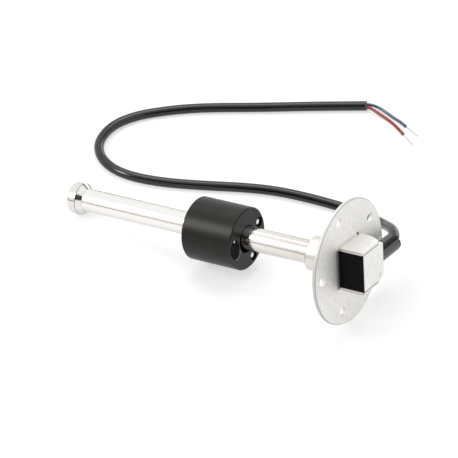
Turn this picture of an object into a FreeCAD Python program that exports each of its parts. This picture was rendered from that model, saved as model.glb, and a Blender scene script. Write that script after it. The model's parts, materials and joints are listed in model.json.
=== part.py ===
import FreeCAD
import Part
import Sketcher
import math
import os
import re
from FreeCAD import Placement, Rotation, Vector

# Water level sensor lying on its side, in millimetres. Each sub-part is drawn in the sensor's own axes:
# Z along the stem with 0 at the tank side of the flange and + towards the terminal cover, X towards the cable.
# One common placement then lays the sensor on the floor, on the rim of its flange and on its end stop.

SIZES = {
    # flange
    "flange_diameter": 68,
    "flange_thickness": 2,
    "flange_edge": 0.3,
    "bolt_inset": 7,
    "bolt_hole": 5.2,
    "bolt_count": 5,
    "wire_hole": 8,
    # stem
    "sensor_length": 174.3,
    "stem_diameter": 12.8,
    "stem_wall": 1,
    "collar_diameter": 18.7,
    "collar_length": 20,
    "collar_edge": 0.5,
    "stop_diameter": 17.7,
    "stop_length": 5.9,
    "stop_taper": 3.1,
    "stop_floor": 3,
    "stop_edge": 1.5,
    # float
    "float_diameter": 34.5,
    "float_length": 31.3,
    "float_clearance": 1.25,
    "float_edge": 0.6,
    "float_below_flange": 61.2,
    "float_gap": 0.3,
    "float_turn": 11,
    "magnet_diameter": 4,
    "magnet_length": 8,
    "magnet_seat": 5.8,
    "magnet_recess": 0.9,
    "magnet_inset": 4.4,
    "magnet_count": 3,
    "magnet_arc": 180,
    # terminal cover and its filling
    "cover_width": 20,
    "cover_overhang": 0.4,
    "cover_height": 24,
    "cover_depth": 14.4,
    "cover_sheet": 1.5,
    "cover_bend": 0.9,
    "cover_crease": 0.3,
    "leg_corner": 4,
    "leg_drop": 6.5,
    "leg_curve": 16,
    "web_setback": 0.8,
    "web_corner": 1.3,
    "lower_corner": 5.4,
    "lower_rise": 3.8,
    "lower_curve": 5.2,
    "seam_inset": 1.2,
    "seam_width": 0.4,
    "seam_depth": 0.4,
    "slot_across": 4.9,
    "slot_along": 4.3,
    "slot_width": 0.8,
    "slot_run": 1.5,
    "slot_rise": 1.1,
    "bead_inset": 0.6,
    "bead_length": 19,
    "bead_width": 1.3,
    "bead_height": 0.9,
    "potting_recess": 0.3,
    "potting_inset": 4.5,
    "potting_lip": 0.3,
    # cable and wires
    "sleeve_diameter": 9.9,
    "sleeve_length": 26,
    "sleeve_drop": 1,
    "sleeve_gap": 0.3,
    "sleeve_edge": 0.6,
    "sleeve_grip": 4.5,
    "cable_diameter": 5.5,
    "wire_diameter": 1.8,
    "wire_pitch": 2.4,
    "core_diameter": 0.66,
    "core_length": 11.5,
    # board inside the stem
    "board_margin": 1.1,
    "board_thickness": 1,
    "board_top": 10,
    "reed_count": 7,
    "reed_first": 38,
    "reed_last": 25.2,
    "reed_diameter": 2.2,
    "reed_length": 10,
    "reed_lead": 1.5,
    "reed_lead_diameter": 0.5,
    "resistor_length": 3.2,
    "resistor_width": 1.6,
    "resistor_thickness": 0.6,
    "resistor_offset": 1.8,
    "lead_diameter": 1.2,
    "lead_spread": 4.8,
    "lead_overlap": 8,
    # fits and stance
    "fit_gap": 0.05,
    "roll": -11.2,
}

# Routes on the floor, each point the corner of two runs, in the frame of the finished part.
CABLE_ROUTE = [
    (83.0, 41.9, 26.0),
    (71.1, 52.8, 17.5),
    (56.2, 61.0, 10.5),
    (42.4, 67.0, 5.5),
    (29.6, 69.3, 2.75),
    (14.6, 67.7, 2.75),
    (-2.5, 64.7, 2.75),
    (-19.3, 59.1, 2.75),
    (-42.3, 48.6, 2.75),
    (-61.5, 40.8, 2.75),
    (-79.7, 36.2, 2.75),
    (-94.7, 36.7, 2.75),
    (-107.2, 43.0, 2.75),
    (-115.3, 53.8, 2.75),
    (-116.7, 69.6, 2.75),
    (-110.5, 82.9, 2.75),
    (-101.0, 92.9, 2.75),
    (-89.1, 102.8, 2.75),
    (-75.3, 111.9, 2.75),
    (-52.3, 124.6, 2.75),
    (-22.4, 142.4, 2.75),
    (1.3, 155.7, 2.75),
]
BLUE_ROUTE = [
    (3.50, 158.31, 2.75),
    (8.33, 159.20, 2.1),
    (13.32, 158.73, 1.4),
    (18.52, 157.36, 0.9),
    (24.22, 155.10, 0.9),
    (29.82, 152.03, 0.9),
]
RED_ROUTE = [
    (3.80, 155.73, 2.75),
    (7.95, 155.39, 2.1),
    (12.94, 154.02, 1.4),
    (19.54, 151.56, 0.9),
    (26.34, 148.30, 0.9),
    (32.14, 144.93, 0.9),
]
CABLE_LEAD_OUT = 2.6
ARC_SHARE = 0.45

doc = FreeCAD.newDocument("WaterLevelSensor")
sheet = doc.addObject("Spreadsheet::Sheet", "Sizes")
for row, (name, number) in enumerate(SIZES.items(), start=1):
    sheet.set(f"A{row}", name)
    sheet.set(f"B{row}", str(number))
    sheet.setAlias(f"B{row}", name)
doc.recompute()

nodes = []
cords = []


def bound(formula):
    """The formula with each size in it written as a cell of the sheet."""
    return re.sub(r"[a-z_]+", lambda word: f"Sizes.{word[0]}" if word[0] in SIZES else word[0], formula)


def value(formula):
    """The formula's value, in millimetres or degrees."""
    return float(sheet.evalExpression(bound(formula)))


def drive(obj, prop, formula):
    """Bind a property to the sheet."""
    obj.setExpression(prop, bound(formula))


def keep(obj, label, local=None, frame="sensor"):
    """Note a finished sub-part, its name, its place in its own axes and the frame that it is laid in."""
    obj.Label = label
    nodes.append((obj, local or Placement(), frame))


def new_body(label):
    return doc.addObject("PartDesign::Body", f"{label}_body")


def new_sketch(body, plane, height="0"):
    """A sketch on one of the body's own planes, raised along the plane's normal."""
    sketch = body.newObject("Sketcher::SketchObject", "Sketch")
    support = next(item for item in body.Origin.OriginFeatures if item.Role == plane)
    sketch.AttachmentSupport = [(support, "")]
    sketch.MapMode = "FlatFace"
    drive(sketch, "AttachmentOffset.Base.z", height)
    return sketch


def constrain(sketch, kind, formula, *where):
    index = sketch.addConstraint(Sketcher.Constraint(kind, *where, value(formula)))
    drive(sketch, f"Constraints[{index}]", formula)


def pin(sketch, geometry, end, across, along):
    """Hold one point of a sketch at two formulas from the sketch's origin."""
    for kind, axis, formula in (("DistanceX", -2, across), ("DistanceY", -1, along)):
        if formula == "0":
            sketch.addConstraint(Sketcher.Constraint("PointOnObject", geometry, end, axis))
        else:
            constrain(sketch, kind, formula, -1, 1, geometry, end)


def outline(sketch, corners, arcs=None):
    """A closed outline. A side whose number is in arcs bulges to its right, with the radius given there."""
    arcs = arcs or {}
    points = [Vector(value(across), value(along), 0) for across, along in corners]
    for number, start in enumerate(points):
        stop = points[(number + 1) % len(points)]
        if number in arcs:
            radius = value(arcs[number])
            half = (stop - start) * 0.5
            rise = radius - math.sqrt(radius**2 - half.Length**2)
            right = Vector(half.y, -half.x, 0).normalize()
            sketch.addGeometry(Part.Arc(start, start + half + right * rise, stop))
        else:
            sketch.addGeometry(Part.LineSegment(start, stop))
    for number, corner in enumerate(corners):
        following = (number + 1) % len(corners)
        sketch.addConstraint(Sketcher.Constraint("Coincident", number, 2, following, 1))
        pin(sketch, number, 1, *corner)
        if number in arcs:
            constrain(sketch, "Radius", arcs[number], number)


def circle(sketch, across, along, diameter):
    centre = Vector(value(across), value(along), 0)
    geometry = sketch.addGeometry(Part.Circle(centre, Vector(0, 0, 1), value(diameter) / 2))
    pin(sketch, geometry, 3, across, along)
    constrain(sketch, "Diameter", diameter, geometry)


def turn(body, corners):
    """Revolve an outline of radius and height about the body's Z axis."""
    sketch = new_sketch(body, "XZ_Plane")
    outline(sketch, corners)
    feature = body.newObject("PartDesign::Revolution", "Turn")
    feature.Profile = sketch
    feature.ReferenceAxis = (sketch, ["V_Axis"])
    feature.Angle = 360
    doc.recompute()


def pad(body, sketch, length):
    feature = body.newObject("PartDesign::Pad", "Pad")
    feature.Profile = sketch
    drive(feature, "Length", length)
    doc.recompute()


def cut(body, sketch, length, flip=False, both_ways=False):
    """Pocket a sketch. The volume shows that it took something away."""
    before = body.Shape.Volume
    feature = body.newObject("PartDesign::Pocket", "Cut")
    feature.Profile = sketch
    feature.Reversed = flip
    feature.Midplane = both_ways
    drive(feature, "Length", length)
    doc.recompute()
    if body.Shape.Volume >= before:
        raise RuntimeError(f"{body.Name}: {feature.Name} cuts nothing")
    return feature


def repeat_round(body, feature, sketch, count, angle):
    """Repeat a cut round the Z axis."""
    before = body.Shape.Volume
    pattern = body.newObject("PartDesign::PolarPattern", "Repeat")
    pattern.Originals = [feature]
    pattern.Axis = (sketch, ["N_Axis"])
    drive(pattern, "Angle", angle)
    drive(pattern, "Occurrences", count)
    body.Tip = pattern
    doc.recompute()
    if body.Shape.Volume >= before:
        raise RuntimeError(f"{body.Name}: {pattern.Name} cuts nothing")


def ease(body, kind, radius, choose):
    """Fillet or chamfer the edges that choose picks."""
    base = body.Tip
    edges = [f"Edge{number}" for number, edge in enumerate(base.Shape.Edges, start=1) if choose(edge)]
    feature = body.newObject(f"PartDesign::{kind}", kind)
    feature.Base = (base, edges)
    drive(feature, "Radius" if kind == "Fillet" else "Size", radius)
    doc.recompute()


def is_rim(radius, *heights):
    """Picks the circles of that radius at those heights."""
    wanted_radius = value(radius)
    wanted_heights = [value(height) for height in heights]

    def choose(edge):
        round_edge = isinstance(edge.Curve, Part.Circle) and abs(edge.Curve.Radius - wanted_radius) < 1e-3
        return round_edge and any(abs(edge.Curve.Center.z - height) < 1e-3 for height in wanted_heights)

    return choose


def is_fold(height, half_width):
    """Picks the straight edges along X at that height, on both sides."""
    wanted_z, wanted_y = value(height), value(half_width)

    def choose(edge):
        box = edge.BoundBox
        at_height = abs(box.ZMin - wanted_z) < 1e-3 and abs(box.ZMax - wanted_z) < 1e-3
        at_side = abs(abs(box.Center.y) - wanted_y) < 1e-3
        return at_height and at_side and box.YLength < 1e-3 and box.XLength > 1

    return choose


# Flange: a disc with a rounded rim, five bolt holes and a hole for the leads
flange = new_body("flange_plate")
turn(
    flange,
    [
        ("wire_hole / 2", "0"),
        ("flange_diameter / 2", "0"),
        ("flange_diameter / 2", "flange_thickness"),
        ("wire_hole / 2", "flange_thickness"),
    ],
)
ease(flange, "Fillet", "flange_edge", is_rim("flange_diameter / 2", "0", "flange_thickness"))
hole_sketch = new_sketch(flange, "XY_Plane")
circle(hole_sketch, "bolt_inset - flange_diameter / 2", "0", "bolt_hole")
bolt_hole = cut(flange, hole_sketch, "flange_thickness", flip=True)
repeat_round(flange, bolt_hole, hole_sketch, "bolt_count", "360")
keep(flange, "flange_plate")

# Collar: the thick end of the stem under the flange
collar = new_body("stem_collar")
turn(
    collar,
    [
        ("stem_diameter / 2 + fit_gap", "-collar_length"),
        ("collar_diameter / 2", "-collar_length"),
        ("collar_diameter / 2", "0"),
        ("stem_diameter / 2 + fit_gap", "0"),
    ],
)
ease(collar, "Fillet", "collar_edge", is_rim("collar_diameter / 2", "-collar_length"))
keep(collar, "stem_collar")

# Tube: from the flange to the bottom of the end stop's socket
tube = new_body("stem_tube")
turn(
    tube,
    [
        ("stem_diameter / 2 - stem_wall", "stop_floor - sensor_length"),
        ("stem_diameter / 2", "stop_floor - sensor_length"),
        ("stem_diameter / 2", "0"),
        ("stem_diameter / 2 - stem_wall", "0"),
    ],
)
keep(tube, "stem_tube")

# End stop: a cap with a socket for the tube and a cone towards the float
end_stop = new_body("end_stop")
turn(
    end_stop,
    [
        ("0", "-sensor_length"),
        ("stop_diameter / 2", "-sensor_length"),
        ("stop_diameter / 2", "stop_length - sensor_length"),
        ("stem_diameter / 2 + fit_gap", "stop_length + stop_taper - sensor_length"),
        ("stem_diameter / 2 + fit_gap", "stop_floor - sensor_length"),
        ("0", "stop_floor - sensor_length"),
    ],
)
ease(end_stop, "Fillet", "stop_edge", is_rim("stop_diameter / 2", "-sensor_length"))
keep(end_stop, "end_stop")

# Float: a thick ring with pockets for the magnets in the face towards the flange
float_body = new_body("float_body")
turn(
    float_body,
    [
        ("stem_diameter / 2 + float_clearance", "-float_below_flange - float_length"),
        ("float_diameter / 2", "-float_below_flange - float_length"),
        ("float_diameter / 2", "-float_below_flange"),
        ("stem_diameter / 2 + float_clearance", "-float_below_flange"),
    ],
)
float_ends = ("-float_below_flange", "-float_below_flange - float_length")
ease(float_body, "Chamfer", "float_edge", is_rim("float_diameter / 2", *float_ends))
for bore, depth in (
    ("magnet_seat", "magnet_recess"),
    ("magnet_diameter + 2 * fit_gap", "magnet_recess + magnet_length"),
):
    pocket_sketch = new_sketch(float_body, "XY_Plane", "-float_below_flange")
    circle(pocket_sketch, "magnet_inset - float_diameter / 2", "0", bore)
    magnet_pocket = cut(float_body, pocket_sketch, depth)
    repeat_round(float_body, magnet_pocket, pocket_sketch, "magnet_count", "magnet_arc")
keep(float_body, "float_body", frame="float")

# Magnets: rods that stand in the float's pockets, flush with the floor of the wider seat
magnet_count = int(value("magnet_count"))
for number in range(magnet_count):
    magnet = doc.addObject("Part::Cylinder", f"magnet_{number + 1}")
    drive(magnet, "Radius", "magnet_diameter / 2")
    drive(magnet, "Height", "magnet_length")
    angle = math.radians(180 + value("magnet_arc") * number / (magnet_count - 1))
    seat = Vector(math.cos(angle), math.sin(angle), 0) * value("float_diameter / 2 - magnet_inset")
    seat.z = value("-float_below_flange - magnet_recess - magnet_length")
    keep(magnet, f"float_magnet_{number + 1}", Placement(seat, Rotation()), frame="float")

# Terminal cover: one sheet folded to a U, its web parallel to the flange
cover = new_body("terminal_cover")
fold_sketch = new_sketch(cover, "YZ_Plane", "-cover_width / 2")
outline(
    fold_sketch,
    [
        ("-cover_height / 2", "flange_thickness"),
        ("-cover_height / 2 + cover_sheet", "flange_thickness"),
        ("-cover_height / 2 + cover_sheet", "flange_thickness + cover_depth - cover_sheet"),
        ("cover_height / 2 - cover_sheet", "flange_thickness + cover_depth - cover_sheet"),
        ("cover_height / 2 - cover_sheet", "flange_thickness"),
        ("cover_height / 2", "flange_thickness"),
        ("cover_height / 2", "flange_thickness + cover_depth"),
        ("-cover_height / 2", "flange_thickness + cover_depth"),
    ],
)
pad(cover, fold_sketch, "cover_width + cover_overhang")
inner_height = "flange_thickness + cover_depth - cover_sheet"
ease(cover, "Fillet", "cover_bend", is_fold("flange_thickness + cover_depth", "cover_height / 2"))
ease(cover, "Fillet", "cover_crease", is_fold(inner_height, "cover_height / 2 - cover_sheet"))
# towards the cable each leg is rounded off and ends before the web does
outer_height = "flange_thickness + cover_depth"
cable_edge = "cover_width / 2 + cover_overhang"
beyond_edge = "cover_width / 2 + cover_overhang + cover_sheet"
web_edge = "(cover_height / 2 - cover_sheet - cover_crease)"
for side, corner in (("", "leg_corner"), ("-", "lower_corner")):
    leg_sketch = new_sketch(cover, "XZ_Plane", f"-({side}cover_height / 2)")
    outline(
        leg_sketch,
        [
            (cable_edge, f"{inner_height} - leg_drop"),
            (f"{cable_edge} - {corner}", outer_height),
            (beyond_edge, outer_height),
            (beyond_edge, f"{inner_height} - leg_drop"),
        ],
        {0: "leg_curve"},
    )
    cut(cover, leg_sketch, "2 * (cover_sheet + cover_crease)", both_ways=True)
# the web's own corners there are rounded too, the lower one more
upper_sketch = new_sketch(cover, "XY_Plane", outer_height)
outline(
    upper_sketch,
    [
        (cable_edge, f"{web_edge} - web_corner"),
        (f"{cable_edge} - web_corner", web_edge),
        (beyond_edge, web_edge),
        (beyond_edge, f"{web_edge} - web_corner"),
    ],
    {0: "web_corner"},
)
cut(cover, upper_sketch, "cover_sheet")
lower_sketch = new_sketch(cover, "XY_Plane", outer_height)
outline(
    lower_sketch,
    [
        (f"{cable_edge} - lower_corner", f"-{web_edge}"),
        (cable_edge, f"lower_rise - {web_edge}"),
        (beyond_edge, f"lower_rise - {web_edge}"),
        (beyond_edge, f"-{web_edge}"),
    ],
    {0: "lower_curve"},
)
cut(cover, lower_sketch, "cover_sheet")


def box_cut(left, right, lower, upper, depth):
    """A straight-sided cut into the web's outer face."""
    sketch = new_sketch(cover, "XY_Plane", outer_height)
    outline(sketch, [(left, lower), (right, lower), (right, upper), (left, upper)])
    cut(cover, sketch, depth)


# a scored seam along each fold, and the web's front edge set back between the legs
front_edge = "-cover_width / 2"
seam_low = "cover_height / 2 - seam_inset - seam_width"
seam_high = "cover_height / 2 - seam_inset"
box_cut(front_edge, f"{cable_edge} - leg_corner", seam_low, seam_high, "seam_depth")
box_cut(front_edge, f"{cable_edge} - lower_corner", f"-({seam_high})", f"-({seam_low})", "seam_depth")
leg_face = "(cover_height / 2 - cover_sheet)"
box_cut(front_edge, f"{front_edge} + web_setback", f"-{leg_face}", leg_face, "cover_sheet + cover_crease")
# a slanted slot through the web near its lower corner
slot_left = f"{cable_edge} - slot_across"
slot_low = "slot_along - cover_height / 2"
slot_sketch = new_sketch(cover, "XY_Plane", outer_height)
outline(
    slot_sketch,
    [
        (slot_left, slot_low),
        (f"{slot_left} + slot_width", slot_low),
        (f"{slot_left} + slot_width + slot_run", f"{slot_low} + slot_rise"),
        (f"{slot_left} + slot_run", f"{slot_low} + slot_rise"),
    ],
)
cut(cover, slot_sketch, "cover_sheet")
# a fine weld bead along the outer foot of the upper leg
bead_sketch = new_sketch(cover, "YZ_Plane", "bead_inset - cover_width / 2")
outline(
    bead_sketch,
    [
        ("cover_height / 2", "flange_thickness"),
        ("cover_height / 2 + bead_width", "flange_thickness"),
        ("cover_height / 2", "flange_thickness + bead_height"),
    ],
)
pad(cover, bead_sketch, "bead_length")
keep(cover, "terminal_cover")

# Potting: resin that fills the cover from the flange to the web, and covers the web's front edge
potting = new_body("potting_block")
fill_sketch = new_sketch(potting, "XY_Plane", "flange_thickness")
outline(
    fill_sketch,
    [
        ("potting_recess - cover_width / 2", "cover_sheet - cover_height / 2"),
        ("cover_width / 2 - potting_inset", "cover_sheet - cover_height / 2"),
        ("cover_width / 2 - potting_inset", "cover_height / 2 - cover_sheet"),
        ("potting_recess - cover_width / 2", "cover_height / 2 - cover_sheet"),
    ],
)
pad(potting, fill_sketch, "cover_depth - cover_sheet")
ease(potting, "Fillet", "cover_crease + fit_gap", is_fold(inner_height, "cover_height / 2 - cover_sheet"))
front_sketch = new_sketch(potting, "XY_Plane", "flange_thickness")
outline(
    front_sketch,
    [
        ("potting_recess - cover_width / 2", "cover_sheet - cover_height / 2"),
        ("web_setback - cover_width / 2", "cover_sheet - cover_height / 2"),
        ("web_setback - cover_width / 2", "cover_height / 2 - cover_sheet"),
        ("potting_recess - cover_width / 2", "cover_height / 2 - cover_sheet"),
    ],
)
pad(potting, front_sketch, "cover_depth - potting_lip")
keep(potting, "potting_block")

# Sleeve: stands on the potting and holds the end of the cable in a socket
sleeve = new_body("cable_sleeve")
turn(
    sleeve,
    [
        ("0", "0"),
        ("sleeve_diameter / 2", "0"),
        ("sleeve_diameter / 2", "sleeve_length"),
        ("cable_diameter / 2 + fit_gap", "sleeve_length"),
        ("cable_diameter / 2 + fit_gap", "sleeve_length - sleeve_grip"),
        ("0", "sleeve_length - sleeve_grip"),
    ],
)
ease(sleeve, "Fillet", "sleeve_edge", is_rim("sleeve_diameter / 2", "sleeve_length"))
sleeve_height = value("flange_thickness + cover_depth - cover_sheet - sleeve_gap - sleeve_diameter / 2")
sleeve_foot = Vector(value("cover_width / 2 - potting_inset"), value("-sleeve_drop"), sleeve_height)
keep(sleeve, "cable_sleeve", Placement(sleeve_foot, Rotation(Vector(0, 1, 0), 90)))

# Board: a strip that lies in the tube with its long edges near the wall and stands on the end stop
board_width = "stem_diameter - 2 * stem_wall - board_margin"
tube_bore = value("stem_diameter / 2 - stem_wall - fit_gap")
board_y = -math.sqrt(tube_bore**2 - value(f"({board_width}) / 2") ** 2)
board_face = board_y + value("board_thickness")
board = doc.addObject("Part::Box", "board")
drive(board, "Length", board_width)
drive(board, "Width", "board_thickness")
drive(board, "Height", "sensor_length - stop_floor - board_top")
board_corner = Vector(-value(f"({board_width}) / 2"), board_y, value("stop_floor - sensor_length"))
keep(board, "circuit_board", Placement(board_corner, Rotation()))

# Reed switches down the middle of the board, each a glass capsule on two leads, with a resistor beside it
reed_y = board_face + value("reed_diameter / 2 + fit_gap")
reed_pitch = value("(sensor_length - reed_first - reed_last) / (reed_count - 1)")
for number in range(int(value("reed_count"))):
    reed_z = -value("reed_first") - reed_pitch * number
    reed = new_body(f"reed_switch_{number + 1}")
    turn(
        reed,
        [
            ("0", "-reed_length / 2 - reed_lead"),
            ("reed_lead_diameter / 2", "-reed_length / 2 - reed_lead"),
            ("reed_lead_diameter / 2", "-reed_length / 2"),
            ("reed_diameter / 2", "-reed_length / 2"),
            ("reed_diameter / 2", "reed_length / 2"),
            ("reed_lead_diameter / 2", "reed_length / 2"),
            ("reed_lead_diameter / 2", "reed_length / 2 + reed_lead"),
            ("0", "reed_length / 2 + reed_lead"),
        ],
    )
    keep(reed, f"reed_switch_{number + 1}", Placement(Vector(0, reed_y, reed_z), Rotation()))
    resistor = doc.addObject("Part::Box", f"chip_{number + 1}")
    drive(resistor, "Length", "resistor_width")
    drive(resistor, "Width", "resistor_thickness")
    drive(resistor, "Height", "resistor_length")
    resistor_corner = Vector(value("resistor_offset"), board_face, reed_z - value("resistor_length / 2"))
    keep(resistor, f"resistor_{number + 1}", Placement(resistor_corner, Rotation()))

# Leads: from the board's upper end, through the flange, to the potting
lead_y = board_face + value("lead_diameter / 2 + fit_gap")
for label, side in (("signal_lead", 1), ("ground_lead", -1)):
    lead = doc.addObject("Part::Cylinder", f"{label}_rod")
    drive(lead, "Radius", "lead_diameter / 2")
    drive(lead, "Height", "board_top + lead_overlap + flange_thickness")
    lead_foot = Vector(side * value("lead_spread / 2"), lead_y, -value("board_top + lead_overlap"))
    keep(lead, label, Placement(lead_foot, Rotation()))

# The sensor rests on the rim of the flange and on the far rim of the end stop, both rounded
span = value("sensor_length - stop_edge + flange_edge")
drop = value("flange_diameter / 2 - flange_edge - stop_diameter / 2 + stop_edge")
edge_difference = value("flange_edge - stop_edge")
tilt = math.atan2(drop, span) + math.asin(edge_difference / math.hypot(span, drop))
rim_radius = value("flange_diameter / 2 - flange_edge")
rest_height = rim_radius * math.cos(tilt) + value("flange_edge") * (1 - math.sin(tilt))
lean = Rotation(Vector(0, 1, 0), -math.degrees(tilt)) * Rotation(Vector(1, 1, 1), 120)


def frames(flange_x):
    """Where the sensor's axes and the float's axes lie when the flange's tank side is at flange_x."""
    base = Vector(flange_x, 0, rest_height)
    slack = value("float_clearance - float_gap")
    hang = lean.multVec(Vector(0, -slack, 0))
    return {
        "sensor": Placement(base, lean * Rotation(Vector(0, 0, 1), value("roll"))),
        "float": Placement(base + hang, lean * Rotation(Vector(0, 0, 1), value("float_turn"))),
    }


def lay(flange_x):
    """Place every sub-part, and give the box that they fill."""
    placed = frames(flange_x)
    for obj, local, frame in nodes:
        obj.Placement = placed[frame] * local
    doc.recompute()
    return Part.makeCompound([obj.Shape for obj, _, _ in nodes]).optimalBoundingBox(False, False)


# the origin is under the middle of the sensor's own box
first_box = lay(0)
flange_x = -(first_box.XMin + first_box.XMax) / 2
lay(flange_x)
sensor_frame = frames(flange_x)["sensor"]


def rounded_path(points):
    """Straight runs joined by tangent arcs, each as large as its two runs allow, with the arcs' radii."""
    edges, radii = [], []
    start = points[0]
    for before, corner, after in zip(points, points[1:], points[2:]):
        into, out = (corner - before), (after - corner)
        half_turn = into.getAngle(out) / 2
        reach = ARC_SHARE * min(into.Length, out.Length)
        radius = reach / math.tan(half_turn)
        into.normalize()
        out.normalize()
        first, last = corner - into * reach, corner + out * reach
        inward = (out - into).normalize()
        middle = corner + inward * (radius / math.cos(half_turn) - radius)
        edges.append(Part.LineSegment(start, first).toShape())
        edges.append(Part.Arc(first, middle, last).toShape())
        radii.append(radius)
        start = last
    edges.append(Part.LineSegment(start, points[-1]).toShape())
    return Part.Wire(edges), radii


def cord(label, points, diameter):
    """A round cord along a route, tested against its section times its length."""
    path, radii = rounded_path(points)
    heading = points[1] - points[0]
    ring = Part.Wire(Part.makeCircle(diameter / 2, points[0], heading))
    solid = path.makePipeShell([ring], True, False)
    expected = math.pi * diameter**2 / 4 * path.Length
    if abs(solid.Volume / expected - 1) > 0.01:
        raise RuntimeError(f"{label}: volume {solid.Volume:.1f}, section times length {expected:.1f}")
    print(label, f"length {path.Length:.1f}", "radii", [round(radius, 1) for radius in radii])
    feature = doc.addObject("Part::Feature", f"{label}_tube")
    feature.Shape = solid
    feature.Placement = Placement()
    feature.Label = label
    cords.append(feature)


# Cable: from the sleeve's socket down to the floor and round behind the sensor
cable_diameter = value("cable_diameter")
sleeve_axis = sensor_frame.Rotation.multVec(Vector(1, 0, 0))
sleeve_end = sensor_frame.multVec(sleeve_foot + Vector(value("sleeve_length"), 0, 0))
cable_start = sleeve_end - sleeve_axis * value("sleeve_grip")
cable_bend = sleeve_end + sleeve_axis * CABLE_LEAD_OUT
cable_points = [cable_start, cable_bend] + [Vector(*point) for point in CABLE_ROUTE]
cord("cable_jacket", cable_points, cable_diameter)

# Wires: side by side out of the cable's cut end, each with a bare tinned end
cable_end = cable_points[-1]
cable_heading = (cable_points[-1] - cable_points[-2]).normalize()
sideways = Vector(-cable_heading.y, cable_heading.x, 0) * value("wire_pitch / 2")
for colour, side, route in (("blue", 1, BLUE_ROUTE), ("red", -1, RED_ROUTE)):
    wire_points = [cable_end + sideways * side] + [Vector(*point) for point in route]
    cord(f"{colour}_wire", wire_points, value("wire_diameter"))
    core = doc.addObject("Part::Cylinder", f"{colour}_core")
    drive(core, "Radius", "core_diameter / 2")
    drive(core, "Height", "core_length")
    heading = wire_points[-1] - wire_points[-2]
    core.Placement = Placement(wire_points[-1], Rotation(Vector(0, 0, 1), heading))
    core.Label = f"{colour}_wire_end"
    cords.append(core)
doc.recompute()

failed = [item.Label for item in doc.Objects if "Invalid" in item.State or "Error" in item.State]
if failed:
    raise RuntimeError(f"failed objects: {failed}")
finished = [obj for obj, _, _ in nodes] + cords
for obj in finished:
    if obj.Shape.isNull() or not obj.Shape.isValid() or len(obj.Shape.Solids) != 1:
        raise RuntimeError(f"{obj.Label}: bad shape")

os.makedirs("parts", exist_ok=True)
for obj in finished:
    obj.Shape.exportStep(f"parts/{obj.Label}.step")
print(f"tilt {math.degrees(tilt):.4f}", f"flange at x {flange_x:.4f} z {rest_height:.4f}", f"{len(finished)} nodes")
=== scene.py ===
import json
import math

import bmesh
import bpy
from mathutils import Matrix, Quaternion, Vector


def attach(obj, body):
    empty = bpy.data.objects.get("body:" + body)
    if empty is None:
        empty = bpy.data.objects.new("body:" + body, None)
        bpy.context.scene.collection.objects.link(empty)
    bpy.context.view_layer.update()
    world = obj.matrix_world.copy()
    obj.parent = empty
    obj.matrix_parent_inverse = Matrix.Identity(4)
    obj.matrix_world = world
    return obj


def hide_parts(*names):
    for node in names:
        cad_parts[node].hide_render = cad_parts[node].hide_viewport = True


# Looks of a tank level sensor that lies on a pale floor: metres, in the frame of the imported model.

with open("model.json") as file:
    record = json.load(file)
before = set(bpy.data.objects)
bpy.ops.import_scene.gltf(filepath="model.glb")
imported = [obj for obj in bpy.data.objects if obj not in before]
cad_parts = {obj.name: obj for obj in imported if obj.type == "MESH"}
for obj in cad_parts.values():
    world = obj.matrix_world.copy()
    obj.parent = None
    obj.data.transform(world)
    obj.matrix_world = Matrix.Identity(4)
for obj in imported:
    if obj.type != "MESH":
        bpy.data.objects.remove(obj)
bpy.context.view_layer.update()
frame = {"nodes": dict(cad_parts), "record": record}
nodes = frame["nodes"]
record = frame["record"]

# The sensor's own axes: the cable's side, the cover's upper side, and the stem towards the cover
COVER_ROLL = math.radians(-11.2)
LEVEL = Vector((0, 1, 0))
UP = Vector((0, 0, 1))
stem_axis = Vector(record["behaviour"]["joints"][0]["axis"])
flange_centre = Vector(record["mounts"][0]["pos_m"])
cable_axis = Quaternion(stem_axis, COVER_ROLL) @ LEVEL
cover_axis = stem_axis.cross(cable_axis)
sensor_turn = Matrix((cable_axis, cover_axis, stem_axis)).transposed().to_euler()

# The cable leaves the sleeve's end, at these distances from the flange's tank side and the stem's axis
SLEEVE_RISE = 0.00965
SLEEVE_DROP = 0.001
SLEEVE_END = 0.0315
CABLE_GRIP = 0.0045
CABLE_LEAD_OUT = 0.0026
CABLE_DIAMETER = 0.0055
CABLE_ROUTE = [
    (0.0830, 0.0419, 0.02600),
    (0.0698, 0.0547, 0.01560),
    (0.0543, 0.0639, 0.00760),
    (0.0406, 0.0698, 0.00275),
    (0.0296, 0.0693, 0.00275),
    (0.0146, 0.0677, 0.00275),
    (-0.0025, 0.0647, 0.00275),
    (-0.0193, 0.0591, 0.00275),
    (-0.0423, 0.0486, 0.00275),
    (-0.0615, 0.0408, 0.00275),
    (-0.0797, 0.0362, 0.00275),
    (-0.0947, 0.0367, 0.00275),
    (-0.1072, 0.0430, 0.00275),
    (-0.1153, 0.0538, 0.00275),
    (-0.1167, 0.0696, 0.00275),
    (-0.1105, 0.0829, 0.00275),
    (-0.1010, 0.0929, 0.00275),
    (-0.0891, 0.1028, 0.00275),
    (-0.0753, 0.1119, 0.00275),
    (-0.0523, 0.1246, 0.00275),
    (-0.0224, 0.1424, 0.00275),
    (0.0013, 0.1557, 0.00275),
]

# A knife left rough edges round the ends of the sleeve and the cable: radius and rise from the cut
SLEEVE_OUTLINE = [
    (0.0040, -0.0002),
    (0.00494, -0.0007),
    (0.00496, 0.0002),
    (0.0047, 0.0005),
    (0.0041, 0.0004),
]
SLEEVE_WAVE = 0.00026
COARSE_WAVES = 5
FINE_WAVES = 11
FINE_WAVE_SHIFT = 1.0
CUT_OUTLINE = [
    (0.0022, -0.0001),
    (0.00272, -0.0001),
    (0.00274, 0.0006),
    (0.0026, 0.0010),
    (0.0024, 0.0011),
    (0.0022, 0.0010),
]

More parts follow.
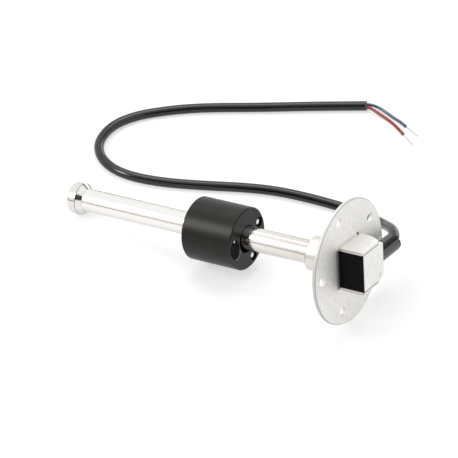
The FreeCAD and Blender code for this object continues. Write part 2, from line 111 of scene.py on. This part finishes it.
# Two insulated wires leave the cable's cut end side by side, and each ends in tinned strands
WIRE_DIAMETER = 0.0018
WIRE_PITCH = 0.0024
BLUE_LENGTH = 0.0310
RED_LENGTH = 0.0329
BLUE_ROUTE = [
    (0.00350, 0.15831, 0.00275),
    (0.00863, 0.15870, 0.00210),
    (0.01402, 0.15763, 0.00140),
    (0.01952, 0.15586, 0.00090),
    (0.02450, 0.15450, 0.00090),
    (0.02982, 0.15203, 0.00090),
]
RED_ROUTE = [
    (0.00380, 0.15573, 0.00275),
    (0.00836, 0.15476, 0.00210),
    (0.01324, 0.15370, 0.00140),
    (0.01904, 0.15225, 0.00090),
    (0.02590, 0.14895, 0.00090),
    (0.03214, 0.14493, 0.00090),
]
STRAND_COUNT = 6
STRAND_DIAMETER = 0.00022
STRAND_REACH = 0.92 * STRAND_DIAMETER
STRAND_TURNS = 1.6
STRAND_STEPS = 28
STRAND_SIDES = 8
TINNED_LENGTH = 0.0115
CORD_STEPS = 16
CORD_BEVEL_STEPS = 8

# Resin in the magnets' pockets: places on the float's face, then radius and rise from the face
FLOAT_FACE = 0.0612
MAGNETS = {1: (-0.01171, -0.00579), 2: (0.00504, -0.01283), 3: (0.01208, 0.00392)}
SMEARED_MAGNET = 1
RESIN_RING = [
    (0.00288, -0.00087),
    (0.00288, -0.00030),
    (0.00240, -0.00052),
    (0.00180, -0.00074),
    (0.00140, -0.00084),
    (0.00140, -0.00087),
]
RESIN_PLUG = [
    (0.00288, -0.00087),
    (0.00288, 0.0),
    (0.00240, -0.00004),
    (0.00140, -0.00006),
    (0.00030, -0.00007),
]
TURNED_SIDES = 48

# A smear over one pocket, in shares of its half width and height, a lip, and a bare corner of the magnet
SMEAR_PLACE = (-0.0121, -0.0016)
SMEAR_WIDE = 0.0042
SMEAR_TALL = 0.0051
SMEAR_OUTLINE = [
    (1.0, -0.0001),
    (1.0, 0.00004),
    (0.94, 0.0001),
    (0.7, 0.00005),
    (0.3, 0.00002),
    (0.05, 0.00002),
]
LIP_PLACE = (-0.0114, -0.0042)
LIP_START = math.radians(6)
LIP_STOP = math.radians(-108)
LIP_STEPS = 24
LIP_END_HEIGHT = 0.15
LIP_OUTLINE = [(0.0037, -0.0002), (0.0037, 0.0003), (0.0039, 0.00036), (0.0041, 0.0003), (0.0041, -0.0002)]
CORNER_PLACE = (-0.0125, 0.0028)
CORNER_OUTLINE = [(0.0007, -0.0001), (0.0006, 0.0001), (0.0004, 0.0002), (0.0001, 0.00024)]

# Noise in the finishes, and the middle range of it that is used
NOISE_DETAIL = 4.0
NOISE_ROUGHNESS = 0.6
NOISE_LOW = 0.3
NOISE_HIGH = 0.7

# Marks on the steel and the float, most of them painted shade, a painted reflection or a painted highlight: a
# colour, and the spans of the sensor's own measures where it lies
# A dark brown for lines and spots along edges; in the gap by the potting and round the end stop it is painted
# shade
EDGE_LINE = (0.24, 0.21, 0.18)
# Painted shade along the flange's rim and the collar's end, a darker beige line at the edge
RIM_SHADE = (0.52, 0.50, 0.47)
# Painted shade in the creases of the folds and in the relief slot
CREASE_SHADE = (0.10, 0.085, 0.07)
CUT_FACE = (-0.0101, -0.00993)
WELD_RISE = (0.01203, 0.0134)
WELD_FOOT = (0.002, 0.00295)
FLANGE_MARKS = {
    # painted shade: the flange's side band is made grey where it gets less light than the face
    "side": {"colour": (0.68, 0.68, 0.665), "radius": (0.0338, 0.0341), "z": (-0.0001, 0.0018)},
    # painted shade along the flange's rim
    "rim": {"colour": RIM_SHADE, "radius": (0.03362, 0.0341), "z": (0.0016, 0.0021)},
    # painted shade: the walls of the bolt holes are made a little darker
    "hole_walls": {"colour": (0.80, 0.785, 0.76), "radius": (0.024, 0.030), "z": (0.0001, 0.0019)},
    # painted shade on the flange beside the potting, darkest at the potting and fading away from it
    "contact_shade": {
        "colour": (0.10, 0.095, 0.09),
        "fade": ("x", -0.0140, -0.0098),
        "x": (-0.0140, -0.0088),
        "rise": (0, 0.0112),
        "z": (0.0018, 0.0022),
    },
}
COVER_MARKS = {
    "cut_edges": {"colour": (0.76, 0.71, 0.655), "x": CUT_FACE, "rise": (0.0104, 0.0121)},
    # painted shade in the gap between the cut edges and the potting
    "inner_lines": {"colour": EDGE_LINE, "x": CUT_FACE, "rise": (0.01037, 0.01073)},
    "outer_lines": {"colour": EDGE_LINE, "x": CUT_FACE, "rise": (0.01174, 0.01210)},
    # painted shade along the folds and in the slot
    "folds": {"colour": CREASE_SHADE, "rise": (0.01036, 0.01084), "z": (0.0158, 0.01632)},
    "slot": {"colour": CREASE_SHADE, "x": (0.0054, 0.0079), "y": (-0.0078, -0.0065), "z": (0.0148, 0.01632)},
    "weld": {"colour": (0.82, 0.78, 0.72), "y": WELD_RISE, "z": WELD_FOOT},
    "weld_end": {"colour": EDGE_LINE, "x": (0.0078, 0.0098), "y": WELD_RISE, "z": WELD_FOOT},
}
# Painted reflection: the stem turns beige towards the collar, standing in for the shaded floor it reflects
STEM_PAINTED_REFLECTION = {"colour": (0.75, 0.71, 0.65), "fade": ("z", -0.062, -0.018), "z": (-0.062, 0.001)}
# Painted shade: a dark line round the end stop where its cylinder meets its cone
STOP_EDGE_SHADE = {"colour": EDGE_LINE, "radius": (0.0085, 0.009), "z": (-0.16862, -0.16828)}
COLLAR_EDGE_SHADE = {"colour": RIM_SHADE, "radius": (0.0088, 0.0095), "z": (-0.0201, -0.0194)}
# Painted highlight: a lighter ring round the edge of the float's face
FLOAT_EDGE_HIGHLIGHT = {"colour": (0.045, 0.043, 0.040), "radius": (0.0168, 0.0174), "z": (-0.0619, -0.0611)}

# Grain drawn out along the stem, and round a turned piece
ALONG_STEM = (1, 1, 30)
ROUND_STEM = (20, 20, 1)

# The camera's place, turn and lens
CAMERA_TARGET = Vector((0.001937, 0.006035, 0.020096))
CAMERA_DISTANCE = 1.53692
CAMERA_AZIMUTH = math.radians(33.267)
CAMERA_ELEVATION = math.radians(39.74)
CAMERA_ROLL = math.radians(-2.763)
CAMERA_LENS = 225.12
CAMERA_REACH = 100

# The floor, the light from all round, and a point low over the floor that the lamps face
FLOOR_HALF = 6.0
FLOOR_COLOUR = (0.70, 0.70, 0.70, 1)
FLOOR_GLOW = {"eye": 0.52, "gloss": 0.38}
WORLD_LIGHT = 0.45
WORLD_GLOW = {"eye": 0.55, "gloss": 0.55}
WHITE = (1, 1, 1, 1)
BLACK = (0, 0, 0, 1)
MATT = {"Roughness": 0.9, "Specular IOR Level": 0.0}
CARD_STEPS = 48
LAMP_TARGET = Vector((0, 0, 0.03))


def add(tree, kind, inputs=None, **settings):
    """A new shader node, with its settings, its values and its links."""
    node = tree.nodes.new(f"ShaderNode{kind}")
    for name, setting in settings.items():
        setattr(node, name, setting)
    for socket, source in (inputs or {}).items():
        if isinstance(source, bpy.types.NodeSocket):
            tree.links.new(source, node.inputs[socket])
        else:
            node.inputs[socket].default_value = source
    return node


def calculate(tree, operation, *numbers):
    """The result of a calculation with numbers or sockets."""
    return add(tree, "Math", dict(enumerate(numbers)), operation=operation).outputs[0]


def new_material(name, constants):
    """A material, its tree and its shader, with what is the same all over set on the shader's sockets."""
    material = bpy.data.materials.new(name)
    material.use_nodes = True
    shader = material.node_tree.nodes["Principled BSDF"]
    for socket, number in constants.items():
        shader.inputs[socket].default_value = number
    return material, material.node_tree, shader


def sensor_coordinates(tree, stretch=(1, 1, 1)):
    """Places on a piece along the sensor's own axes, in metres, drawn out where a grain runs one way."""
    place = add(tree, "TexCoord").outputs["Object"]
    values = {"Vector": place, "Location": flange_centre, "Rotation": sensor_turn, "Scale": stretch}
    return add(tree, "Mapping", values, vector_type="TEXTURE").outputs["Vector"]


def noise(tree, place, size):
    """Noise with features of about this size."""
    values = {"Vector": place, "Scale": 1 / size, "Detail": NOISE_DETAIL, "Roughness": NOISE_ROUGHNESS}
    return add(tree, "TexNoise", values).outputs["Fac"]


def carry(tree, factor, low, high, start=NOISE_LOW, stop=NOISE_HIGH):
    """A factor's range from start to stop, carried to another range."""
    values = {"Value": factor, "From Min": start, "From Max": stop, "To Min": low, "To Max": high}
    return add(tree, "MapRange", values).outputs["Result"]


def tint(tree, factor, dark, light):
    """A colour between two, by a noise."""
    ramp = add(tree, "ValToRGB", {"Fac": factor})
    first, last = ramp.color_ramp.elements
    first.position, first.color = NOISE_LOW, (*dark, 1)
    last.position, last.color = NOISE_HIGH, (*light, 1)
    return ramp.outputs["Color"]


def finish(name, dark, light, rough, blotch, grain, depth, stretch=(1, 1, 1), **constants):
    """A finish whose colour drifts over blotches, with a fine grain in its roughness and in relief."""
    sockets = {socket.replace("_", " "): number for socket, number in constants.items()}
    material, tree, shader = new_material(name, sockets)
    place = sensor_coordinates(tree, stretch)
    drift = noise(tree, place, blotch)
    fine = noise(tree, place, grain)
    bump = add(tree, "Bump", {"Height": fine, "Distance": depth, "Strength": 1.0})
    tree.links.new(tint(tree, drift, dark, light), shader.inputs["Base Color"])
    tree.links.new(carry(tree, fine, *rough), shader.inputs["Roughness"])
    tree.links.new(bump.outputs["Normal"], shader.inputs["Normal"])
    return material


def stain(material, colour, fade=None, **spans):
    """Another colour where the sensor's measures, in metres, lie in spans.

    The measures are x, y, z, the distance of y from nought as rise, and the radius. A fade names one of them,
    and the colour grows along it from one number to another.
    """
    tree = material.node_tree
    base = tree.nodes["Principled BSDF"].inputs["Base Color"]
    place = sensor_coordinates(tree)
    x, y, z = add(tree, "SeparateXYZ", {0: place}).outputs
    flat = add(tree, "CombineXYZ", {0: x, 1: y}).outputs[0]
    measures = {
        "x": x,
        "y": y,
        "z": z,
        "rise": calculate(tree, "ABSOLUTE", y),
        "radius": add(tree, "VectorMath", {0: flat}, operation="LENGTH").outputs["Value"],
    }
    mask = carry(tree, measures[fade[0]], 0, 1, *fade[1:]) if fade else 1.0
    for name, (low, high) in spans.items():
        middle = (low + high) / 2
        half = (high - low) / 2
        mask = calculate(tree, "MULTIPLY", calculate(tree, "COMPARE", measures[name], middle, half), mask)
    under = base.links[0].from_socket
    mixed = add(tree, "Mix", {0: mask, 6: under, 7: (*colour, 1)}, data_type="RGBA")
    tree.links.new(mixed.outputs[2], base)


def satin_steel(name, rough, marks):
    """Fine-blasted stainless sheet with its marks, several of them painted shade."""
    material = finish(
        name, dark=(0.89, 0.88, 0.855), light=(0.99, 0.98, 0.96), rough=rough,
        blotch=0.0022, grain=0.0005, depth=0.00001, Metallic=1.0,
    )
    for mark in marks.values():
        stain(material, **mark)
    return material


def dress(material, *names):
    """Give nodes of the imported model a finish."""
    for name in names:
        slots = nodes[name].data.materials
        slots.clear()
        slots.append(material)


# Finishes
flange_steel = satin_steel("flange_steel", (0.58, 0.70), FLANGE_MARKS)
cover_steel = satin_steel("cover_steel", (0.33, 0.43), COVER_MARKS)
polished_stem = finish(
    "polished_stem", dark=(0.88, 0.865, 0.84), light=(0.94, 0.925, 0.90), rough=(0.13, 0.19),
    blotch=0.006, grain=0.0003, depth=0.0000003, stretch=ALONG_STEM, Metallic=1.0,
)
# painted reflection on the stem, beige towards the collar
stain(polished_stem, **STEM_PAINTED_REFLECTION)
polished_turned = finish(
    "polished_turned", dark=(0.79, 0.775, 0.745), light=(0.85, 0.835, 0.81), rough=(0.10, 0.18),
    blotch=0.006, grain=0.0003, depth=0.000002, stretch=ROUND_STEM, Metallic=1.0,
)
# painted shade line round the end stop
stain(polished_turned, **STOP_EDGE_SHADE)
satin_collar = finish(
    "satin_collar", dark=(0.76, 0.735, 0.69), light=(0.81, 0.785, 0.74), rough=(0.28, 0.36),
    blotch=0.006, grain=0.0003, depth=0.000002, stretch=ROUND_STEM, Metallic=1.0,
)
# painted shade line round the collar's end
stain(satin_collar, **COLLAR_EDGE_SHADE)
nickel = finish(
    "nickel", dark=(0.80, 0.79, 0.76), light=(0.9, 0.89, 0.86), rough=(0.12, 0.25),
    blotch=0.002, grain=0.0002, depth=0.000003, Metallic=1.0,
)
float_foam = finish(
    "float_foam", dark=(0.003, 0.003, 0.0027), light=(0.007, 0.0067, 0.006), rough=(0.32, 0.42),
    blotch=0.006, grain=0.0003, depth=0.00001, Specular_IOR_Level=0.33, Specular_Tint=(1.0, 0.97, 0.91, 1.0),
    Sheen_Weight=0.08, Sheen_Roughness=0.3,
)
# painted highlight on the edge of the float's face
stain(float_foam, **FLOAT_EDGE_HIGHLIGHT)
float_resin = finish(
    "float_resin", dark=(0.002, 0.002, 0.002), light=(0.005, 0.005, 0.005), rough=(0.16, 0.26),
    blotch=0.002, grain=0.0008, depth=0.00004, Specular_IOR_Level=0.03,
)
# A pale grey: a painted highlight on the resin lip by the smeared magnet
resin_lip_highlight = finish(
    "resin_lip_highlight", dark=(0.20, 0.20, 0.195), light=(0.42, 0.42, 0.41), rough=(0.3, 0.5),
    blotch=0.0012, grain=0.0004, depth=0.00001,
)
potting_resin = finish(
    "potting_resin", dark=(0.003, 0.003, 0.003), light=(0.006, 0.006, 0.006), rough=(0.45, 0.6),
    blotch=0.004, grain=0.0006, depth=0.00002, Specular_IOR_Level=0.08,
)
sleeve_rubber = finish(
    "sleeve_rubber", dark=(0.008, 0.009, 0.010), light=(0.014, 0.0145, 0.016), rough=(0.12, 0.18),
    blotch=0.004, grain=0.0003, depth=0.00001, Specular_IOR_Level=1.0,
)
cut_rubber = finish(
    "cut_rubber", dark=(0.002, 0.002, 0.002), light=(0.02, 0.02, 0.022), rough=(0.4, 0.6),
    blotch=0.0011, grain=0.0004, depth=0.00006, Specular_IOR_Level=0.15,
)
cable_pvc = finish(
    "cable_pvc", dark=(0.004, 0.004, 0.0045), light=(0.008, 0.008, 0.009), rough=(0.15, 0.23),
    blotch=0.006, grain=0.0004, depth=0.000004, Specular_IOR_Level=0.6,
)
cut_pvc = finish(
    "cut_pvc", dark=(0.06, 0.046, 0.038), light=(0.17, 0.13, 0.105), rough=(0.5, 0.7),
    blotch=0.0009, grain=0.0003, depth=0.00006,
)
blue_wire_pvc = finish(
    "blue_wire_pvc", dark=(0.034, 0.092, 0.180), light=(0.055, 0.130, 0.240), rough=(0.20, 0.28),
    blotch=0.003, grain=0.0004, depth=0.00001, Specular_IOR_Level=0.9,
)
red_wire_pvc = finish(
    "red_wire_pvc", dark=(0.32, 0.038, 0.018), light=(0.41, 0.058, 0.028), rough=(0.26, 0.34),
    blotch=0.003, grain=0.0004, depth=0.00001, Specular_IOR_Level=0.5,
)
tin = finish(
    "tin", dark=(0.50, 0.49, 0.475), light=(0.66, 0.65, 0.63), rough=(0.25, 0.4),
    blotch=0.001, grain=0.0002, depth=0.000008, Metallic=1.0,
)
board_laminate = finish(
    "board_laminate", dark=(0.03, 0.14, 0.05), light=(0.05, 0.2, 0.08), rough=(0.35, 0.5),
    blotch=0.002, grain=0.0004, depth=0.00001,
)
reed_glass = finish(
    "reed_glass", dark=(0.7, 0.86, 0.78), light=(0.8, 0.92, 0.86), rough=(0.04, 0.1),
    blotch=0.003, grain=0.0005, depth=0.000004, Transmission_Weight=0.9,
)
chip_body = finish(
    "chip_body", dark=(0.012, 0.012, 0.012), light=(0.03, 0.03, 0.03), rough=(0.4, 0.6),
    blotch=0.0008, grain=0.0002, depth=0.00001,
)

dress(flange_steel, "flange_plate")
dress(cover_steel, "terminal_cover")
dress(polished_stem, "stem_tube")
dress(satin_collar, "stem_collar")
dress(polished_turned, "end_stop")
dress(float_foam, "float_body")
dress(nickel, "float_magnet_1", "float_magnet_2", "float_magnet_3")
dress(potting_resin, "potting_block")
dress(sleeve_rubber, "cable_sleeve")
dress(board_laminate, "circuit_board")
dress(red_wire_pvc, "signal_lead")
dress(blue_wire_pvc, "ground_lead")
dress(reed_glass, *[name for name in nodes if name.startswith("reed_switch")])
dress(chip_body, *[name for name in nodes if name.startswith("resistor")])


def show(piece, body):
    """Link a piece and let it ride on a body."""
    bpy.context.scene.collection.objects.link(piece)
    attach(piece, body)


def cord_curve(name, points, diameter, material):
    """A round cord along a smooth line that the route's points steer."""
    data = bpy.data.curves.new(name, "CURVE")
    data.dimensions = "3D"
    data.resolution_u = CORD_STEPS
    spline = data.splines.new("NURBS")
    spline.points.add(len(points) - 1)
    for control, point in zip(spline.points, points):
        control.co = (*point, 1)
    spline.order_u = 3
    spline.use_endpoint_u = True
    data.bevel_depth = diameter / 2
    data.bevel_resolution = CORD_BEVEL_STEPS
    data.use_fill_caps = True
    data.materials.append(material)
    return bpy.data.objects.new(name, data)


def mesh_object(name, mesh, material):
    """An object from a bmesh."""
    data = bpy.data.meshes.new(name)
    mesh.to_mesh(data)
    mesh.free()
    data.materials.append(material)
    return bpy.data.objects.new(name, data)


def join_rings(mesh, rings, loop=False):
    """Faces between rings of points, closed by two caps or by a loop back to the first ring."""
    for lower, upper in zip(rings, rings[1:] + rings[:1] if loop else rings[1:]):
        for side, corner in enumerate(lower):
            following = (side + 1) % len(lower)
            mesh.faces.new((corner, lower[following], upper[following], upper[side])).smooth = True
    if not loop:
        mesh.faces.new(reversed(rings[0]))
        mesh.faces.new(rings[-1])


def tube_rings(mesh, path, radius, sides):
    """A closed tube along points close together, in a bmesh."""
    rings = []
    for number, point in enumerate(path):
        ahead = path[min(number + 1, len(path) - 1)] - path[max(number - 1, 0)]
        turn = ahead.to_track_quat("Z", "Y")
        ring = []
        for side in range(sides):
            angle = 2 * math.pi * side / sides
            ring.append(mesh.verts.new(point + turn @ Vector((math.cos(angle), math.sin(angle), 0)) * radius))
        rings.append(ring)
    join_rings(mesh, rings)


def turned_piece(name, centre, across, along, outline, loop, material, wave=0):
    """A piece turned about the line square to two spokes, from points of radius and rise.

    A wave makes its front edge ragged.
    """
    axis = across.cross(along).normalized()
    mesh = bmesh.new()
    rings = []
    for radius, rise in outline:
        ring = []
        for side in range(TURNED_SIDES):
            angle = 2 * math.pi * side / TURNED_SIDES
            spoke = across * math.cos(angle) + along * math.sin(angle)
            ragged = math.sin(COARSE_WAVES * angle) + math.sin(FINE_WAVES * angle + FINE_WAVE_SHIFT)
            lift = wave * ragged if rise > 0 else 0
            ring.append(mesh.verts.new(centre + spoke * radius + axis * (rise + lift)))
        rings.append(ring)
    join_rings(mesh, rings, loop)
    bmesh.ops.recalc_face_normals(mesh, faces=mesh.faces)
    return mesh_object(name, mesh, material)


def on_float(x, y):
    """A place on the float's face that looks towards the flange."""
    return flange_centre + cable_axis * x + cover_axis * y - stem_axis * FLOAT_FACE


def resin_lip(name):
    """A lip of resin along part of a round edge, which thins out at both ends."""
    centre = on_float(*LIP_PLACE)
    mesh = bmesh.new()
    rings = []
    for step in range(LIP_STEPS + 1):
        share = step / LIP_STEPS
        angle = LIP_START + (LIP_STOP - LIP_START) * share
        swell = LIP_END_HEIGHT + (1 - LIP_END_HEIGHT) * math.sin(math.pi * share)
        spoke = cable_axis * math.cos(angle) + cover_axis * math.sin(angle)
        ring = []
        for radius, rise in LIP_OUTLINE:
            ring.append(mesh.verts.new(centre + spoke * radius + stem_axis * rise * swell))
        rings.append(ring)
    join_rings(mesh, rings)
    bmesh.ops.recalc_face_normals(mesh, faces=mesh.faces)
    # the lip's pale grey is a painted highlight
    return mesh_object(name, mesh, resin_lip_highlight)


def tinned_strands(name, start, heading):
    """Bare strands twisted round a middle one."""
    mesh = bmesh.new()
    along = heading.normalized()
    turn = along.to_track_quat("Z", "Y")
    for strand in range(STRAND_COUNT + 1):
        reach = 0 if strand == STRAND_COUNT else STRAND_REACH
        path = []
        for step in range(STRAND_STEPS + 1):
            share = step / STRAND_STEPS
            angle = 2 * math.pi * (strand / STRAND_COUNT + STRAND_TURNS * share)
            offset = turn @ Vector((math.cos(angle), math.sin(angle), 0)) * reach
            path.append(start + along * TINNED_LENGTH * share + offset)
        tube_rings(mesh, path, STRAND_DIAMETER / 2, STRAND_SIDES)
    return mesh_object(name, mesh, tin)


# The sleeve's ragged end
sleeve_end = flange_centre + stem_axis * SLEEVE_RISE - cover_axis * SLEEVE_DROP + cable_axis * SLEEVE_END
sleeve_edge = turned_piece(
    "sleeve_cut_edge", sleeve_end, cover_axis, stem_axis, SLEEVE_OUTLINE, True, cut_rubber, SLEEVE_WAVE
)
show(sleeve_edge, "sensor")

# Cable, with the edge round its cut end
cable_points = [sleeve_end - cable_axis * CABLE_GRIP, sleeve_end + cable_axis * CABLE_LEAD_OUT]
cable_points += [Vector(point) for point in CABLE_ROUTE]
cable = cord_curve("cable_cord", cable_points, CABLE_DIAMETER, cable_pvc)
show(cable, "sensor")
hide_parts("cable_jacket")
cable_end = cable_points[-1]
cable_heading = (cable_points[-1] - cable_points[-2]).normalized()
sideways = Vector((-cable_heading.y, cable_heading.x, 0))
cut_upward = sideways.cross(-cable_heading)
cut_edge = turned_piece("cable_cut_edge", cable_end, sideways, cut_upward, CUT_OUTLINE, True, cut_pvc)
show(cut_edge, "sensor")

# Wires
for colour, side, route, length, material in (
    ("blue", 1, BLUE_ROUTE, BLUE_LENGTH, blue_wire_pvc),
    ("red", -1, RED_ROUTE, RED_LENGTH, red_wire_pvc),
):
    points = [cable_end + sideways * side * WIRE_PITCH / 2] + [Vector(point) for point in route]
    wire = cord_curve(f"{colour}_wire_cord", points, WIRE_DIAMETER, material)
    show(wire, "sensor")
    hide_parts(f"{colour}_wire")
    strands = tinned_strands(f"{colour}_strands", points[-1], points[-1] - points[-2])
    show(strands, "sensor")
    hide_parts(f"{colour}_wire_end")

# Resin on the float's face: rings round two magnets, and a plug, a smear and a lip over the third
for number, place in MAGNETS.items():
    outline, loop = (RESIN_PLUG, False) if number == SMEARED_MAGNET else (RESIN_RING, True)
    resin = turned_piece(
        f"magnet_resin_{number}", on_float(*place), cable_axis, cover_axis, outline, loop, float_resin
    )
    show(resin, "float")
smear_spokes = cable_axis * SMEAR_WIDE, cover_axis * SMEAR_TALL
smear = turned_piece(
    "magnet_resin_smear", on_float(*SMEAR_PLACE), *smear_spokes, SMEAR_OUTLINE, False, float_resin
)
show(smear, "float")
show(resin_lip("magnet_resin_lip"), "float")
corner = turned_piece(
    "magnet_bare_corner", on_float(*CORNER_PLACE), cable_axis, cover_axis, CORNER_OUTLINE, False, nickel
)
show(corner, "float")


def by_ray(tree, eye, gloss):
    """One number for what the camera sees, another for reflections and glass, and nought for other light."""
    path = add(tree, "LightPath").outputs
    mirrored = calculate(tree, "MAXIMUM", path["Is Glossy Ray"], path["Is Transmission Ray"])
    scaled = calculate(tree, "MULTIPLY", mirrored, gloss)
    return calculate(tree, "MULTIPLY_ADD", path["Is Camera Ray"], eye, scaled)


def make_floor():
    """A wide pale floor that keeps the object's shadow and is white to the eye and in reflections."""
    half = FLOOR_HALF
    data = bpy.data.meshes.new("floor")
    corners = [(-half, -half, 0), (half, -half, 0), (half, half, 0), (-half, half, 0)]
    data.from_pydata(corners, [], [(0, 1, 2, 3)])
    constants = {**MATT, "Base Color": FLOOR_COLOUR, "Emission Color": WHITE}
    material, tree, shader = new_material("floor_white", constants)
    tree.links.new(by_ray(tree, **FLOOR_GLOW), shader.inputs["Emission Strength"])
    data.materials.append(material)
    floor = bpy.data.objects.new("floor", data)
    bpy.context.scene.collection.objects.link(floor)


def make_card(name, radius, low, high, start, stop, colour):
    """A card bent round the object between two heights and two bearings, seen only in reflections."""
    verts = []
    for step in range(CARD_STEPS + 1):
        bearing = math.radians(start + (stop - start) * step / CARD_STEPS)
        across = radius * math.cos(bearing)
        along = radius * math.sin(bearing)
        verts += [(across, along, low), (across, along, high)]
    faces = [(2 * step, 2 * step + 2, 2 * step + 3, 2 * step + 1) for step in range(CARD_STEPS)]
    data = bpy.data.meshes.new(name)
    data.from_pydata(verts, [], faces)
    constants = {**MATT, "Base Color": BLACK, "Emission Color": (*colour, 1), "Emission Strength": 1.0}
    material, _, _ = new_material(name, constants)
    data.materials.append(material)
    card = bpy.data.objects.new(name, data)
    bpy.context.scene.collection.objects.link(card)
    card.visible_camera = False
    card.visible_shadow = False
    card.visible_diffuse = False


def make_lamp(name, place, width, height, brightness, along=None):
    """A soft box of this brightness that faces the object, with its width level or along a line."""
    data = bpy.data.lights.new(name, "AREA")
    data.shape = "RECTANGLE"
    data.size = width
    data.size_y = height
    data.energy = brightness * math.pi * width * height
    lamp = bpy.data.objects.new(name, data)
    lamp.location = place
    back = (Vector(place) - LAMP_TARGET).normalized()
    across = along - back * along.dot(back) if along else UP.cross(back)
    across.normalize()
    lamp.rotation_euler = Matrix((across, back.cross(across), back)).transposed().to_euler()
    lamp.visible_camera = False
    bpy.context.scene.collection.objects.link(lamp)


def make_world():
    """Even light from all round, white to the eye and in reflections."""
    world = bpy.data.worlds.new("studio")
    world.use_nodes = True
    tree = world.node_tree
    background = tree.nodes["Background"]
    background.inputs["Color"].default_value = WHITE
    strength = calculate(tree, "ADD", by_ray(tree, **WORLD_GLOW), WORLD_LIGHT)
    tree.links.new(strength, background.inputs["Strength"])
    bpy.context.scene.world = world


def make_camera():
    """The camera, aimed at a point inside the object and rolled a little."""
    data = bpy.data.cameras.new("camera")
    data.lens = CAMERA_LENS
    data.clip_end = CAMERA_REACH
    camera = bpy.data.objects.new("camera", data)
    level = math.cos(CAMERA_ELEVATION)
    back = Vector((
        math.sin(CAMERA_AZIMUTH) * level,
        -math.cos(CAMERA_AZIMUTH) * level,
        math.sin(CAMERA_ELEVATION),
    ))
    camera.location = CAMERA_TARGET + back * CAMERA_DISTANCE
    turn = (-back).to_track_quat("-Z", "Y") @ Quaternion(UP, CAMERA_ROLL)
    camera.rotation_euler = turn.to_euler()
    bpy.context.scene.collection.objects.link(camera)
    bpy.context.scene.camera = camera


# Stage
make_floor()
make_card("front_horizon", radius=1.6, low=0.0, high=0.21, start=200, stop=285, colour=(0.44, 0.34, 0.25))
make_card("back_horizon", radius=1.6, low=0.0, high=0.12, start=114, stop=135, colour=(0.50, 0.46, 0.42))
make_card("back_card", radius=2.2, low=0.62, high=1.30, start=40, stop=100, colour=(0.12, 0.12, 0.12))
make_card("front_card", radius=2.4, low=0.9, high=3.5, start=-125, stop=-30, colour=(0.06, 0.055, 0.05))
make_lamp("top_softbox", place=(-0.27, 0.57, 1.36), width=1.2, height=0.8, brightness=2.5)
make_lamp("back_strip", place=(-0.06, 1.68, 0.27), width=1.0, height=0.25, brightness=3.0)
make_lamp(
    "left_softbox", place=(-0.538, -0.490, 0.550), width=0.20, height=0.39, brightness=10.0, along=stem_axis
)
make_world()
make_camera()
bpy.context.scene.view_settings.view_transform = "Standard"
